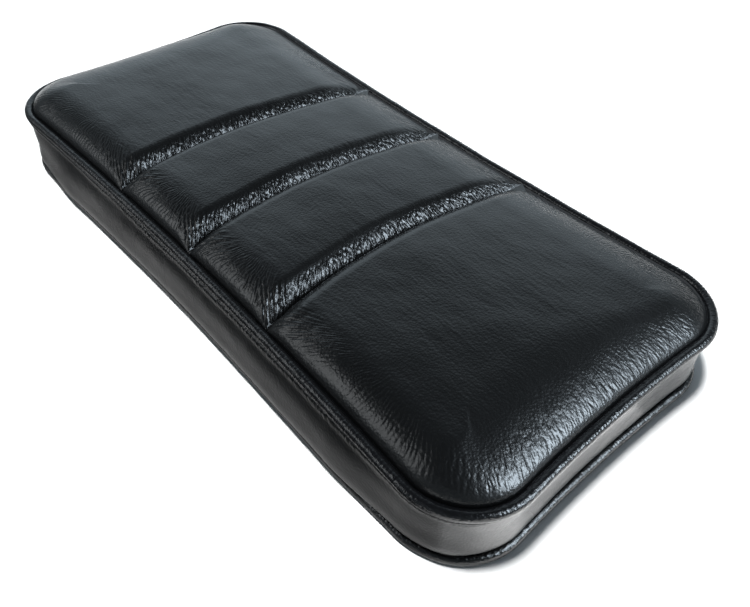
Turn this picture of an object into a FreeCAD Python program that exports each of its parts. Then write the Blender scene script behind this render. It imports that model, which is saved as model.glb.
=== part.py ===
"""Channelled armrest pad: a piped, boxed leather cushion on a plywood base board.

Frame: +X along the pad to its front end, +Z up, origin at the centre of the underside.
Every ring-shaped piece follows one plan line, the middle of the piping.  Distances called
"inset" are measured inwards from that line, and heights are measured up from the underside.
"""
import FreeCAD, Part
import math
import os
from collections import namedtuple

# ---- driving dimensions, millimetres -------------------------------------------------------
overall_length = 320.0          # over the piping, at the corners
overall_width = 153.0           # over the piping, at the corners
overall_height = 40.0           # underside to the crown of the flutes
corner_radius = 28.3            # outside of the piping
side_pull_in = 3.8              # how far the middle of a long side draws in
end_pull_in = 1.6               # how far the middle of an end draws in

leather = 1.0                   # hide of the top panels and the boxing
piping_leather = 0.6            # thinner hide that wraps the piping cord
piping_cord_diameter = 3.0
seam_allowance = 8.0            # leather turned in beyond each piping seam
boxing_height = 31.7            # underside to the top of the upper piping

flute_pitch = 52.5              # from one channel seam to the next
flute_shift = -1.0              # middle seam, measured from the centre of the pad
channel_depth = 5.0             # crown down to where two panels touch
channel_reach = 10.0            # width of the roll from crown to channel
end_roll = 27.0                 # width of the roll from crown to end piping
side_roll = 14.0                # width of the roll from crown to side piping
roll_drop = 8.0                 # height of the end and side rolls
panel_gap = 0.3                 # piping to top panel, side to side

board_thickness = 12.0
cover_thickness = 0.8
backing_thickness = 0.4
wadding_thickness = 2.1
fit_gap = 0.3                   # room around a piece that drops into another

bolt_spacing_x = 120.0
bolt_spacing_y = 60.0
thread_bore_diameter = 5.0      # M6 thread, core
barrel_diameter = 8.0
nut_flange_diameter = 19.0
nut_flange_thickness = 1.5
prong_length = 6.0
prong_width = 3.0
prong_thickness = 1.0
prong_circle_radius = 7.5
prong_count = 4
bolt_tip_diameter = 8.0         # pocket in the foam for the ends of the bolts
bolt_tip_depth = 8.0
cover_hole_diameter = 9.0

staple_width = 10.0
staple_wire = 0.6
staple_leg = 8.0
staple_pitch = 24.0
staples_per_corner = 2
flange_staple_inset = 5.4
cover_staple_inset = 8.4

thread_diameter = 0.6
seam_stitch_inset = 3.4
join_allowance = 8.0            # each end of the boxing, turned in beside its closing seam
join_gap = 0.3

# ---- sizes worked out from them ------------------------------------------------------------
piping_radius = piping_cord_diameter / 2 + piping_leather
half_length = overall_length / 2 - piping_radius
half_width = overall_width / 2 - piping_radius
bend_radius = corner_radius - piping_radius

flange_thickness = 2 * piping_leather
flange_end = piping_radius + seam_allowance
top_seam_z = boxing_height - piping_radius
bottom_seam_z = cover_thickness + flange_thickness / 2
panel_foot_z = top_seam_z + flange_thickness / 2
backing_z = panel_foot_z + leather
flute_foot_z = backing_z + backing_thickness
top_hem_z = top_seam_z - flange_thickness / 2 - leather
bottom_hem_z = bottom_seam_z + flange_thickness / 2
board_top_z = cover_thickness + board_thickness
core_inset = max(leather + wadding_thickness, piping_radius + leather)
panel_inset = piping_radius + panel_gap
seam_xs = [flute_shift + step * flute_pitch for step in (-1, 0, 1)]

roll_overrun = 1.0              # the end and side rolls run on past the plan line that trims them

Bend = namedtuple("Bend", "x y radius start sweep inwards")
Roll = namedtuple("Roll", "position reach drop overrun")


# ---- plan line and pieces that follow it ---------------------------------------------------
def plan_bends():
    """The eight arcs of the plan line, anticlockwise from the front end.

    Corners are convex.  Sides and ends are shallow hollows whose circles touch the corner
    circles, so the line has no kink.  inwards is -1 where going inwards shortens the radius.
    """
    cx = half_length - bend_radius
    cy = half_width - bend_radius
    end_step = bend_radius - end_pull_in
    side_step = bend_radius - side_pull_in
    end_bow = (cy ** 2 + end_step ** 2 - bend_radius ** 2) / (2 * end_pull_in)
    side_bow = (cx ** 2 + side_step ** 2 - bend_radius ** 2) / (2 * side_pull_in)
    end_x = half_length - end_pull_in + end_bow
    side_y = half_width - side_pull_in + side_bow
    end_half = math.asin(cy / (end_bow + bend_radius))
    side_half = math.asin(cx / (side_bow + bend_radius))
    corner_turn = math.pi / 2 + end_half + side_half
    quarter = math.pi / 2
    bends = []
    for step in range(4):
        facing = step * quarter
        is_end = step % 2 == 0
        bow, half = (end_bow, end_half) if is_end else (side_bow, side_half)
        reach = end_x if is_end else side_y
        other_half = side_half if is_end else end_half
        bends.append(Bend(reach * math.cos(facing), reach * math.sin(facing), bow,
                          facing + math.pi + half, -2 * half, 1))
        side = 1 if step in (0, 3) else -1
        above = 1 if step in (0, 1) else -1
        bends.append(Bend(side * cx, above * cy, bend_radius, facing - half,
                          half + quarter + other_half, -1))
    assert abs(corner_turn - bends[1].sweep) < 1e-9
    return bends


BENDS = plan_bends()


def on_bend(bend, inset, share, z):
    """A point at an inset from one arc of the plan line, share 0 to 1 along that arc."""
    radius = bend.radius + bend.inwards * inset
    angle = bend.start + share * bend.sweep
    return FreeCAD.Vector(bend.x + radius * math.cos(angle), bend.y + radius * math.sin(angle), z)


def plan_block(inset, low, high):
    """Everything inside the plan line moved in by inset, between two heights."""
    edges = [Part.Arc(*(on_bend(bend, inset, share, low) for share in (0, 0.5, 1))).toShape()
             for bend in BENDS]
    return Part.Face(Part.Wire(edges)).extrude(FreeCAD.Vector(0, 0, high - low))


def plan_ring(outer, inner, low, high):
    """A band between two insets and two heights."""
    return plan_block(outer, low, high).cut(plan_block(inner, low - 1, high + 1))


def carried(section_edges):
    """Carries a closed section, drawn in (inset, height), round all eight arcs."""
    stretches = []
    for bend in BENDS:
        angle = bend.start
        along = FreeCAD.Vector(math.cos(angle), math.sin(angle), 0)
        centre = FreeCAD.Vector(bend.x, bend.y, 0)

        def place(point):
            return centre + along * (bend.radius + bend.inwards * point[0]) \
                + FreeCAD.Vector(0, 0, point[1])

        face = Part.Face(Part.Wire([edge(place) for edge in section_edges]))
        turn = FreeCAD.Vector(0, 0, 1 if bend.sweep > 0 else -1)
        stretches.append(face.revolve(centre, turn, math.degrees(abs(bend.sweep))))
    return stretches[0].multiFuse(stretches[1:]).removeSplitter()


def arc_edge(first, middle, last):
    return lambda place: Part.Arc(place(first), place(middle), place(last)).toShape()


def line_edge(first, last):
    return lambda place: Part.makeLine(place(first), place(last))


def round_rope(inset, z, radius):
    """A round cord laid along the plan line."""
    top, bottom = (inset, z + radius), (inset, z - radius)
    return carried([arc_edge(top, (inset + radius, z), bottom),
                    arc_edge(bottom, (inset - radius, z), top)])


def piping_cover(tube_z, flange_z):
    """Thin leather round the cord, its two edges laid together as a flange."""
    half = flange_thickness / 2
    rise = (flange_z + half - tube_z, flange_z - half - tube_z)
    upper_x, lower_x = (math.sqrt(piping_radius ** 2 - step ** 2) for step in rise)
    upper = (upper_x, tube_z + rise[0])
    lower = (lower_x, tube_z + rise[1])
    end_high = (flange_end, flange_z + half)
    end_low = (flange_end, flange_z - half)
    outside = (-piping_radius, tube_z)
    hide = carried([arc_edge(upper, outside, lower), line_edge(lower, end_low),
                    line_edge(end_low, end_high), line_edge(end_high, upper)])
    return hide.cut(round_rope(0, tube_z, piping_cord_diameter / 2))


def box(low, high):
    size = [b - a for a, b in zip(low, high)]
    return Part.makeBox(*size, FreeCAD.Vector(*low))


def rod(x, y, low, high, diameter):
    return Part.makeCylinder(diameter / 2, high - low, FreeCAD.Vector(x, y, low))


def fused(shapes):
    return shapes[0].multiFuse(shapes[1:]).removeSplitter() if len(shapes) > 1 else shapes[0]


# ---- fasteners -----------------------------------------------------------------------------
def bolt_places():
    return [(sx * bolt_spacing_x / 2, sy * bolt_spacing_y / 2)
            for sx in (-1, 1) for sy in (-1, 1)]


def prong(x, y, angle):
    """One spike of a tee nut, cut from its flange and bent down into the board."""
    half = prong_width / 2
    corners = [(-half, 0), (half, 0), (0, -prong_length)]
    points = [FreeCAD.Vector(prong_circle_radius - prong_thickness / 2, side, board_top_z + drop)
              for side, drop in corners]
    spike = Part.Face(Part.makePolygon(points + points[:1]))
    spike = spike.extrude(FreeCAD.Vector(prong_thickness, 0, 0))
    spike.rotate(FreeCAD.Vector(0, 0, 0), FreeCAD.Vector(0, 0, 1), angle)
    spike.translate(FreeCAD.Vector(x, y, 0))
    return spike


def tee_nut_body(x, y):
    flange_top = board_top_z + nut_flange_thickness
    barrel = rod(x, y, cover_thickness, board_top_z, barrel_diameter)
    flange = rod(x, y, board_top_z, flange_top, nut_flange_diameter)
    prongs = [prong(x, y, step * 360 / prong_count) for step in range(prong_count)]
    return fused([barrel, flange] + prongs)


def tee_nuts():
    flange_top = board_top_z + nut_flange_thickness
    return Part.makeCompound([
        tee_nut_body(x, y).cut(rod(x, y, cover_thickness - 1, flange_top + 1,
                                   thread_bore_diameter))
        for x, y in bolt_places()])


def staple(spot, heading, crown_z):
    """A wire staple driven upwards, its crown flush in the face at crown_z."""
    half = staple_width / 2
    top = staple_wire + staple_leg
    crown = box((-half, -staple_wire / 2, 0), (half, staple_wire / 2, staple_wire))
    legs = [box((x, -staple_wire / 2, 0), (x + staple_wire, staple_wire / 2, top))
            for x in (-half, half - staple_wire)]
    wire = fused([crown] + legs)
    wire.rotate(FreeCAD.Vector(0, 0, 0), FreeCAD.Vector(0, 0, 1), math.degrees(heading))
    wire.translate(FreeCAD.Vector(spot.x, spot.y, crown_z))
    return wire


def staple_row(inset, crown_z):
    """Staples along the plan line, evenly spread over each side and each corner."""
    row = []
    for bend in BENDS:
        length = abs(bend.sweep) * (bend.radius + bend.inwards * inset)
        straight = bend.inwards > 0
        count = max(1, round(length / staple_pitch)) if straight else staples_per_corner
        for step in range(count):
            share = (step + 0.5) / count
            heading = bend.start + share * bend.sweep + math.pi / 2
            row.append(staple(on_bend(bend, inset, share, 0), heading, crown_z))
    return Part.makeCompound(row)


def flange_staples():
    return staple_row(flange_staple_inset, cover_thickness)


def cover_staples():
    return staple_row(cover_staple_inset, 0)


# ---- base ----------------------------------------------------------------------------------
def base_board():
    """Plywood, rebated round its underside so the turned-in leather lies flush."""
    board = plan_block(core_inset, bottom_hem_z + leather, board_top_z)
    board = board.fuse(plan_block(flange_end + fit_gap, cover_thickness, board_top_z))
    board = board.removeSplitter()
    cuts = [rod(x, y, cover_thickness - 1, board_top_z + 1, barrel_diameter)
            for x, y in bolt_places()]
    cuts += [prong(x, y, step * 360 / prong_count)
             for x, y in bolt_places() for step in range(prong_count)]
    return board.cut(cuts).cut(flange_staples()).cut(cover_staples())


def underside_cover():
    """Black cloth over the board and the turned-in leather."""
    cloth = plan_block(panel_inset, 0, cover_thickness)
    holes = [rod(x, y, -1, cover_thickness + 1, cover_hole_diameter) for x, y in bolt_places()]
    return cloth.cut(holes).cut(cover_staples())


# ---- side ----------------------------------------------------------------------------------
def closing_strip(half, high=overall_height):
    """A slice across the middle of the rear end, where the boxing is joined."""
    inner_x = core_inset + fit_gap - half_length + end_pull_in
    return box((-half_length - 1, -half, 0), (inner_x, half, high))


def join_stitch_place():
    return -half_length + end_pull_in + 1.5 * leather


def boxing_join_thread():
    low = 2 * piping_radius + leather
    high = top_hem_z - leather
    return rod(join_stitch_place(), 0, low, high, thread_diameter)


def boxing_band():
    """The upright side: one strip with its edges turned in at both pipings."""
    wall_low = 2 * piping_radius
    wall_high = top_seam_z - piping_radius
    step = piping_radius + leather
    strips = [
        plan_ring(0, leather, wall_low, wall_high),
        plan_ring(0, step, wall_high - leather, wall_high),
        plan_ring(0, step, wall_low, wall_low + leather),
        plan_ring(piping_radius, step, top_hem_z, top_hem_z + leather),
        plan_ring(piping_radius, step, wall_high - leather, top_hem_z + leather),
        plan_ring(piping_radius, step, bottom_hem_z, wall_low + leather),
        plan_ring(piping_radius, flange_end, top_hem_z, top_hem_z + leather),
        plan_ring(piping_radius, flange_end, bottom_hem_z, bottom_hem_z + leather),
        plan_ring(leather, 2 * leather, wall_low + leather, wall_high - leather)
        .common(closing_strip(join_allowance)),
    ]
    gap = box((-half_length - 1, -join_gap / 2, 0),
              (-half_length + end_pull_in + flange_end + 1, join_gap / 2, overall_height))
    band = fused(strips).cut(gap)
    band = band.cut(boxing_join_thread()).cut(flange_staples()).cut(cover_staples())
    return band.cut(top_seam_thread())


def side_wadding():
    """Soft strip behind the boxing, trimmed back at the closing seam."""
    low = 2 * piping_radius + leather
    high = top_seam_z - piping_radius - leather
    return plan_ring(leather, core_inset, low, high).cut(closing_strip(join_allowance + fit_gap))


# ---- piping and its threads ----------------------------------------------------------------
def bottom_piping_cover():
    hide = piping_cover(piping_radius, bottom_seam_z)
    return hide.cut(flange_staples()).cut(cover_staples()).cut(bottom_seam_thread())


def bottom_piping_cord():
    return round_rope(0, piping_radius, piping_cord_diameter / 2)


def top_piping_cover():
    return piping_cover(top_seam_z, top_seam_z)


def top_piping_cord():
    return round_rope(0, top_seam_z, piping_cord_diameter / 2)


def top_seam_thread():
    return round_rope(seam_stitch_inset, top_hem_z + leather / 2, thread_diameter / 2)


def bottom_seam_thread():
    return round_rope(seam_stitch_inset, bottom_seam_z, thread_diameter / 2)


# ---- cushion -------------------------------------------------------------------------------
def foam_core():
    """Foam block on the board, raised inside the turned-in edges of the top seam."""
    slab = plan_block(core_inset, board_top_z, top_hem_z)
    raised = plan_block(flange_end + fit_gap, board_top_z, backing_z)
    block = slab.fuse(raised).removeSplitter()
    flange_top = board_top_z + nut_flange_thickness
    pockets = [rod(x, y, board_top_z - 1, flange_top, nut_flange_diameter + 2 * fit_gap)
               for x, y in bolt_places()]
    pockets += [rod(x, y, board_top_z, flange_top + bolt_tip_depth, bolt_tip_diameter)
                for x, y in bolt_places()]
    return block.cut(pockets)


def backing_cloth():
    return plan_block(panel_inset + leather, backing_z, flute_foot_z)


def roll_height(reach, drop, inset, dx):
    """Height below the crown of a roll that starts level and falls by drop over reach."""
    radius = (reach ** 2 + drop ** 2) / (2 * drop)
    return radius - math.sqrt((radius - inset) ** 2 - dx ** 2)


def hump_face(first, last, inset, foot, place):
    """Section of a flute: foot line, two side walls, two rolls and a level crown.

    first and last are the two sides.  The whole section is drawn inset inside the outer one,
    and both share the centres of the rolls.
    """
    crown = overall_height - inset
    points = []
    for (position, reach, drop, overrun), side in ((first, 1), (last, -1)):
        wall = position + side * (inset - overrun)
        level = position + side * reach
        middle = (wall + level) / 2
        points.append([place(wall, foot)]
                      + [place(u, overall_height - roll_height(reach, drop, inset, abs(level - u)))
                         for u in (wall, middle)]
                      + [place(level, crown)])
    (a, b, c, d), (e, f, g, h) = points
    edges = [Part.makeLine(a, b), Part.Arc(b, c, d).toShape(), Part.makeLine(d, h),
             Part.Arc(h, g, f).toShape(), Part.makeLine(f, e), Part.makeLine(e, a)]
    return Part.Face(Part.Wire(edges))


def flute_limits(index):
    """The two sides of a flute along the pad: each an end of the pad or a channel seam."""
    stops = [Roll(-half_length + panel_inset, end_roll, roll_drop, roll_overrun)]
    stops += [Roll(x, channel_reach, channel_depth, 0) for x in seam_xs]
    stops += [Roll(half_length - panel_inset, end_roll, roll_drop, roll_overrun)]
    return stops[index], stops[index + 1]


def flute_block(index, inset, foot):
    """Plump block of one flute, inset inside its leather surface.

    Only the plan block stops at the foot and follows the outline; the two humps run past it.
    """
    first, last = flute_limits(index)
    along = hump_face(first, last, inset, foot - 1,
                      lambda u, z: FreeCAD.Vector(u, -half_width, z))
    along = along.extrude(FreeCAD.Vector(0, 2 * half_width, 0))
    side = half_width - panel_inset
    across = hump_face(Roll(-side, side_roll, roll_drop, roll_overrun),
                       Roll(side, side_roll, roll_drop, roll_overrun), inset, foot - 2,
                       lambda u, z: FreeCAD.Vector(-half_length, u, z))
    across = across.extrude(FreeCAD.Vector(2 * half_length, 0, 0))
    plan = plan_block(panel_inset + inset, foot, overall_height + 1)
    return plan.common(along).common(across)


def channel_thread(index):
    """Thread of one channel seam, through both panels just above the backing cloth."""
    length = 2 * (half_width - side_pull_in - panel_inset - side_roll)
    start = FreeCAD.Vector(seam_xs[index], -length / 2, flute_foot_z + leather)
    return Part.makeCylinder(thread_diameter / 2, length, start, FreeCAD.Vector(0, 1, 0))


def top_panel(index):
    """One leather panel: its crown, its walls down both seams and its turned-in edge."""
    first, last = flute_limits(index)
    low_x = first.position - first.overrun
    high_x = last.position + last.overrun
    span = box((low_x, -half_width, 0), (high_x, half_width, overall_height))
    cap = flute_block(index, 0, flute_foot_z)
    cap = cap.cut(flute_block(index, leather, flute_foot_z - 1))
    wall = plan_ring(panel_inset, panel_inset + leather, panel_foot_z, flute_foot_z)
    hem = plan_ring(panel_inset, flange_end, panel_foot_z, backing_z)
    panel = fused([cap, wall.common(span), hem.common(span)])
    return panel.cut([channel_thread(step) for step in range(len(seam_xs))])


def flute_filler(index):
    return flute_block(index, leather, flute_foot_z)


# ---- all sub-parts -------------------------------------------------------------------------
FLUTES = ("rear_end", "rear_middle", "front_middle", "front_end")
CHANNELS = ("rear", "middle", "front")

PIECES = [
    base_board, tee_nuts, underside_cover, cover_staples, flange_staples,
    boxing_band, boxing_join_thread, side_wadding,
    bottom_piping_cover, bottom_piping_cord, bottom_seam_thread,
    top_piping_cover, top_piping_cord, top_seam_thread,
    foam_core, backing_cloth,
]


def sub_parts():
    """Name and shape of every sub-part."""
    for piece in PIECES:
        yield piece.__name__, piece()
    for index, name in enumerate(FLUTES):
        yield name + "_panel", top_panel(index)
        yield name + "_filler", flute_filler(index)
    for index, name in enumerate(CHANNELS):
        yield name + "_channel_thread", channel_thread(index)


os.makedirs("parts", exist_ok=True)
for node, shape in sub_parts():
    assert shape.isValid(), node
    shape.exportStep("parts/" + node + ".step")
    box_mm = shape.BoundBox
    print(f"{node:24s} solids {len(shape.Solids):3d}  volume {shape.Volume:10.1f}  "
          f"x {box_mm.XMin:8.2f} {box_mm.XMax:8.2f}  y {box_mm.YMin:7.2f} {box_mm.YMax:7.2f}  "
          f"z {box_mm.ZMin:6.2f} {box_mm.ZMax:6.2f}")
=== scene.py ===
"""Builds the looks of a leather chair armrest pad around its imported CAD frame.

Lengths inside the shape functions are millimetres, and become metres where a mesh is made.
The pad lies along X, its front end at +X, on the floor at Z = 0.
"""

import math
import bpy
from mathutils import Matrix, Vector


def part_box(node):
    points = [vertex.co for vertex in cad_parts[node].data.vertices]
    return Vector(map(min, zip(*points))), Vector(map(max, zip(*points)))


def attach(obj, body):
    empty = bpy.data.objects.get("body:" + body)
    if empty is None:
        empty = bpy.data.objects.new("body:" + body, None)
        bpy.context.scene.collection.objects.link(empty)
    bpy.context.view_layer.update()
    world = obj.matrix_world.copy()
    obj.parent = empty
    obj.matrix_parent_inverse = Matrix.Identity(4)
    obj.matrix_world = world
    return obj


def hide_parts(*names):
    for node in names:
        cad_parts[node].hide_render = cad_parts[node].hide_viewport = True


bl_info = {
    "name": "Channelled armrest pad",
    "version": (1, 0, 0),
    "blender": (4, 5, 0),
    "location": "3D View > Sidebar > Armrest pad",
    "description": "Piped leather armrest pad with four sewn flutes, and the studio it stands in",
    "category": "Object",
}

import bpy
import numpy as np
from bpy.props import FloatProperty, FloatVectorProperty, PointerProperty, StringProperty
from mathutils import Matrix, Vector

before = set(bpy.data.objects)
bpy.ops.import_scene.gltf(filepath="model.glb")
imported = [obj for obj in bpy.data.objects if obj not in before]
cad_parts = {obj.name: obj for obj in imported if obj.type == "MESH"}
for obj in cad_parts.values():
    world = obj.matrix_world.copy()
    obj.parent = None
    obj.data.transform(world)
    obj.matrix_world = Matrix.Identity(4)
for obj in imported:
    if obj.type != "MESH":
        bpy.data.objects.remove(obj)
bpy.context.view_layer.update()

MM = 0.001
FLUTES = ("rear_end", "rear_middle", "front_middle", "front_end")
SEAMS = ("rear", "middle", "front")


def cad_box(node):
    """Lowest and highest corner of a CAD node, in millimetres."""
    low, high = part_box(node)
    return np.array(low) / MM, np.array(high) / MM


RIM_LOW, RIM_HIGH = cad_box("top_piping_cover")
FOOT_LOW, FOOT_HIGH = cad_box("bottom_piping_cover")
BEAD = (RIM_HIGH[2] - RIM_LOW[2]) / 2            # radius of the piping
TOP_SEAM = (RIM_HIGH[2] + RIM_LOW[2]) / 2
FOOT_SEAM = (FOOT_LOW[2] + FOOT_HIGH[2]) / 2
HALF_LENGTH = RIM_HIGH[0] - BEAD
HALF_WIDTH = RIM_HIGH[1] - BEAD
PANEL_FOOT = cad_box("rear_end_panel")[0][2]
CLOTH_TOP = cad_box("backing_cloth")[1][2]
CROWN = cad_box("rear_middle_panel")[1][2] - PANEL_FOOT
SEAM_X = [sum(cad_box(name + "_channel_thread"))[0] / 2 for name in SEAMS]
BOARD_FACE = cad_box("underside_cover")[1][2]    # the cloth's upper face lies on the board
NUT_FLANGE = 9.5                                 # radius of a tee nut's flange
BOLT_X, BOLT_Y = cad_box("tee_nuts")[1][:2] - NUT_FLANGE


# ---- sizes and colours a user would change -------------------------------------------------
def length_setting(name, description, millimetres):
    return FloatProperty(name=name, description=description, default=millimetres * MM,
                         unit="LENGTH", precision=5)


def hex_setting(name, description, value):
    return StringProperty(name=name, description=description, default=value)


class PadSizes(bpy.types.PropertyGroup):
    corner_radius: length_setting("Corner radius", "Radius of the plan line at a corner", 26.2)
    side_pull_in: length_setting("Side pull-in", "How far the long sides draw in", 3.8)
    end_pull_in: length_setting("End pull-in", "How far the ends draw in", 1.6)
    panel_inset: length_setting("Panel inset", "Plan line to the edge of the top panels", 2.3)
    end_roll: length_setting("End roll", "Width of the roll at both ends", 33.0)
    near_roll: length_setting("Left roll", "Width of the roll along the left side", 18.0)
    far_roll: length_setting("Right roll", "Width of the roll along the right side", 28.0)
    channel_reach: length_setting("Channel reach", "Seam to crown, on the side towards the rear",
                                  9.5)
    shoulder_reach: length_setting("Shoulder reach",
                                   "Seam to crown, on the side towards the front", 8.0)
    dome: length_setting("Dome", "Extra height of each flute at its middle", 1.0)
    pucker_pitch: length_setting("Pucker pitch", "Spacing of the gathers along the channels", 1.9)
    pucker_height: length_setting("Pucker height", "Height of the gathers along the channels",
                                  0.30)
    tick_pitch: length_setting("Piping tick pitch", "Spacing of the cord strands that show "
                               "through the piping leather", 1.35)
    foot_flare: length_setting("Foot flare", "How far the left side stands out at its foot", 2.9)
    belly: length_setting("Boxing belly", "How far the boxing swells over the lower piping", 1.9)
    ridge: length_setting("Boxing ridge", "How far the boxing stands out below the upper piping",
                          1.5)


class PadFinish(bpy.types.PropertyGroup):
    leather: hex_setting("Leather", "Pigment of the black leather, sRGB hex", "#090A0B")
    piping: hex_setting("Piping leather", "Pigment of the piping leather, sRGB hex", "#0B0C0E")
    cloth: hex_setting("Underside cloth", "Colour of the non-woven cloth, sRGB hex", "#191919")
    floor: hex_setting("Floor", "Colour of the paper floor, sRGB hex", "#F4F5F5")
    leather_roughness: FloatProperty(name="Leather roughness", default=0.29, min=0.0, max=1.0,
                                     subtype="FACTOR",
                                     description="Roughness of the pigmented top coat")
    piping_roughness: FloatProperty(name="Piping roughness", default=0.23, min=0.0, max=1.0,
                                    subtype="FACTOR",
                                    description="Roughness of the tight, thin piping leather")


class StudioSetup(bpy.types.PropertyGroup):
    camera_place: FloatVectorProperty(name="Camera place", subtype="TRANSLATION", size=3,
                                      description="Where the camera stands",
                                      default=(0.21315, -0.16432, 0.2312))
    camera_azimuth: FloatProperty(name="Camera azimuth", subtype="ANGLE",
                                  description="Turn about the vertical, from looking along +Y",
                                  default=math.radians(47.31))
    camera_elevation: FloatProperty(name="Camera elevation", subtype="ANGLE",
                                    description="Height angle of the camera",
                                    default=math.radians(45.33))
    camera_roll: FloatProperty(name="Camera roll", subtype="ANGLE",
                               description="Turn about the view axis",
                               default=math.radians(2.07))
    camera_lens: FloatProperty(name="Lens", description="Focal length in millimetres",
                               default=36.27, subtype="DISTANCE_CAMERA")


def sizes():
    return bpy.context.scene.pad_sizes


# ---- noise and small curves ----------------------------------------------------------------
def fade(t):
    """An S curve from 0 to 1 that starts and ends level: 6t^5 - 15t^4 + 10t^3."""
    return t * t * t * (t * (t * 6 - 15) + 10)


def gradient_noise(x, y, seed, period=256):
    """Two-way gradient noise, about -1 to 1, one cell per unit, repeating in x after period.

    At each whole-number corner sits a random direction.  The value is the four corners' dot
    products with the way to the point, blended with fade.
    """
    angles = np.random.default_rng(seed).uniform(0, 2 * np.pi, (256, 256))
    gx, gy = np.cos(angles), np.sin(angles)
    x, y = np.broadcast_arrays(np.asarray(x, float), np.asarray(y, float))
    xi, yi = np.floor(x).astype(int), np.floor(y).astype(int)
    dx, dy = x - xi, y - yi
    wx, wy = fade(dx), fade(dy)

    def corner(ox, oy):
        column, row = (xi + ox) % period % 256, (yi + oy) % 256
        return gx[row, column] * (dx - ox) + gy[row, column] * (dy - oy)

    low = corner(0, 0) * (1 - wx) + corner(1, 0) * wx
    high = corner(0, 1) * (1 - wx) + corner(1, 1) * wx
    return (low * (1 - wy) + high * wy) * 1.45


def ramp(value, low, high):
    """0 below low, 1 above high, and the S curve 3t^2 - 2t^3 between."""
    t = np.clip((value - low) / (high - low), 0, 1)
    return t * t * (3 - 2 * t)


def bell(value, centre, width):
    """A smooth hump, 1 at centre, and e times lower a width away."""
    return np.exp(-((value - centre) / width) ** 2)


def roll(distance, width, power):
    """A rolled edge: 0 at the edge, 1 from width in, (1 - (1 - distance/width)^2)^power."""
    return (1 - (1 - np.clip(distance / width, 0, 1)) ** 2) ** power


def gathers(along, across, pitch, slant, wander, seed, sharp=0.6):
    """Sewn gathers: round lobes with sharp creases, -0.7 to 0.3.

    |sin|^sharp of a phase that grows once per pitch along the seam, leans by slant across it,
    and wanders with two-way noise, so creases meet and part.
    """
    phase = (along + slant * across) / pitch
    phase = phase + wander * gradient_noise(along / (3.3 * pitch), across / (2.6 * pitch), seed)
    return np.abs(np.sin(np.pi * phase)) ** sharp - 0.7


# ---- plan line -----------------------------------------------------------------------------
def plan_arcs():
    """The eight arcs of the plan line, anticlockwise from the front end, as columns:
    centre x and y, radius, first angle, sweep, and the sign that turns inset into radius.

    Four convex corners, joined by shallow hollow arcs whose circles touch the corner circles.
    """
    s = sizes()
    r, end_in, side_in = (v / MM for v in (s.corner_radius, s.end_pull_in, s.side_pull_in))
    cx, cy = HALF_LENGTH - r, HALF_WIDTH - r
    end_bow = (cy ** 2 + (r - end_in) ** 2 - r ** 2) / (2 * end_in)
    side_bow = (cx ** 2 + (r - side_in) ** 2 - r ** 2) / (2 * side_in)
    end_half = math.asin(cy / (end_bow + r))
    side_half = math.asin(cx / (side_bow + r))
    rows = []
    for step in range(4):
        facing = step * math.pi / 2
        bow, half, reach, other = (
            (end_bow, end_half, HALF_LENGTH - end_in + end_bow, side_half) if step % 2 == 0
            else (side_bow, side_half, HALF_WIDTH - side_in + side_bow, end_half))
        rows.append((reach * math.cos(facing), reach * math.sin(facing), bow,
                     facing + math.pi + half, -2 * half, 1))
        rows.append(((1 if step in (0, 3) else -1) * cx, (1 if step in (0, 1) else -1) * cy, r,
                     facing - half, half + math.pi / 2 + other, -1))
    return np.array(rows).T


def plan_line(count, inset=0.0):
    """count points evenly along the plan line from the middle of the rear end, anticlockwise,
    moved in by inset: x, y, outward normal x and y, the distance run, and the whole length."""
    cx, cy, radius, start, sweep, inwards = plan_arcs()
    lengths = np.abs(sweep) * radius
    ends = np.cumsum(lengths)
    total = ends[-1]
    run = np.arange(count) * total / count
    place = (run + ends[3] + lengths[4] / 2) % total
    k = np.minimum(np.searchsorted(ends, place, side="right"), 7)
    angle = start[k] + sweep[k] * (place - ends[k] + lengths[k]) / lengths[k]
    nx, ny = -inwards[k] * np.cos(angle), -inwards[k] * np.sin(angle)
    x = cx[k] + radius[k] * np.cos(angle) - nx * inset
    y = cy[k] + radius[k] * np.sin(angle) - ny * inset
    return x, y, nx, ny, run, total


CORNER_SPAN = 40                                 # the wedges reach this far in along x


def insets(x, y):
    """Distance in from the plan line, and how much the nearest edge is an end (1) or a side
    (0).

    In the wedge outside a corner's centre the plan line is the corner arc, and the share turns
    with the angle round that centre.
    """
    cx, cy, radius = plan_arcs()[:3]
    ax, ay = np.abs(x), np.abs(y)
    end = np.hypot(ax - cx[0], ay) - radius[0]
    side = np.hypot(ax, ay - cy[2]) - radius[2]
    wx, wy = ax - cx[1], ay - cy[1]
    end_turn = math.asin(cy[1] / (radius[0] + radius[1]))
    side_turn = math.asin(cx[1] / (radius[2] + radius[1]))
    turn = np.arctan2(wy, wx)
    near_corner = ax > cx[1] - CORNER_SPAN
    in_wedge = (turn > -end_turn) & (turn < math.pi / 2 + side_turn) & near_corner
    share = np.clip((turn + end_turn) / (end_turn + math.pi / 2 + side_turn), 0, 1)
    nearest = np.where(in_wedge, radius[1] - np.hypot(wx, wy), np.minimum(end, side))
    endness = np.where(in_wedge, np.cos(share * math.pi / 2) ** 2, (end < side) * 1.0)
    return nearest, endness


# ---- meshes --------------------------------------------------------------------------------
def lattice(rows, columns, wrap_rows=False):
    """Quads of a rows x columns lattice whose columns close on themselves, and each corner's
    own row and column, not wrapped, for the UV map."""
    r = np.arange(rows if wrap_rows else rows - 1)[:, None]
    c = np.arange(columns)[None, :]
    r, c = np.broadcast_arrays(r, c)
    corner_rows = np.stack([r, r, r + 1, r + 1], -1).reshape(-1, 4)
    corner_columns = np.stack([c, c + 1, c + 1, c], -1).reshape(-1, 4)
    return corner_rows % rows * columns + corner_columns % columns, corner_rows, corner_columns


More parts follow.
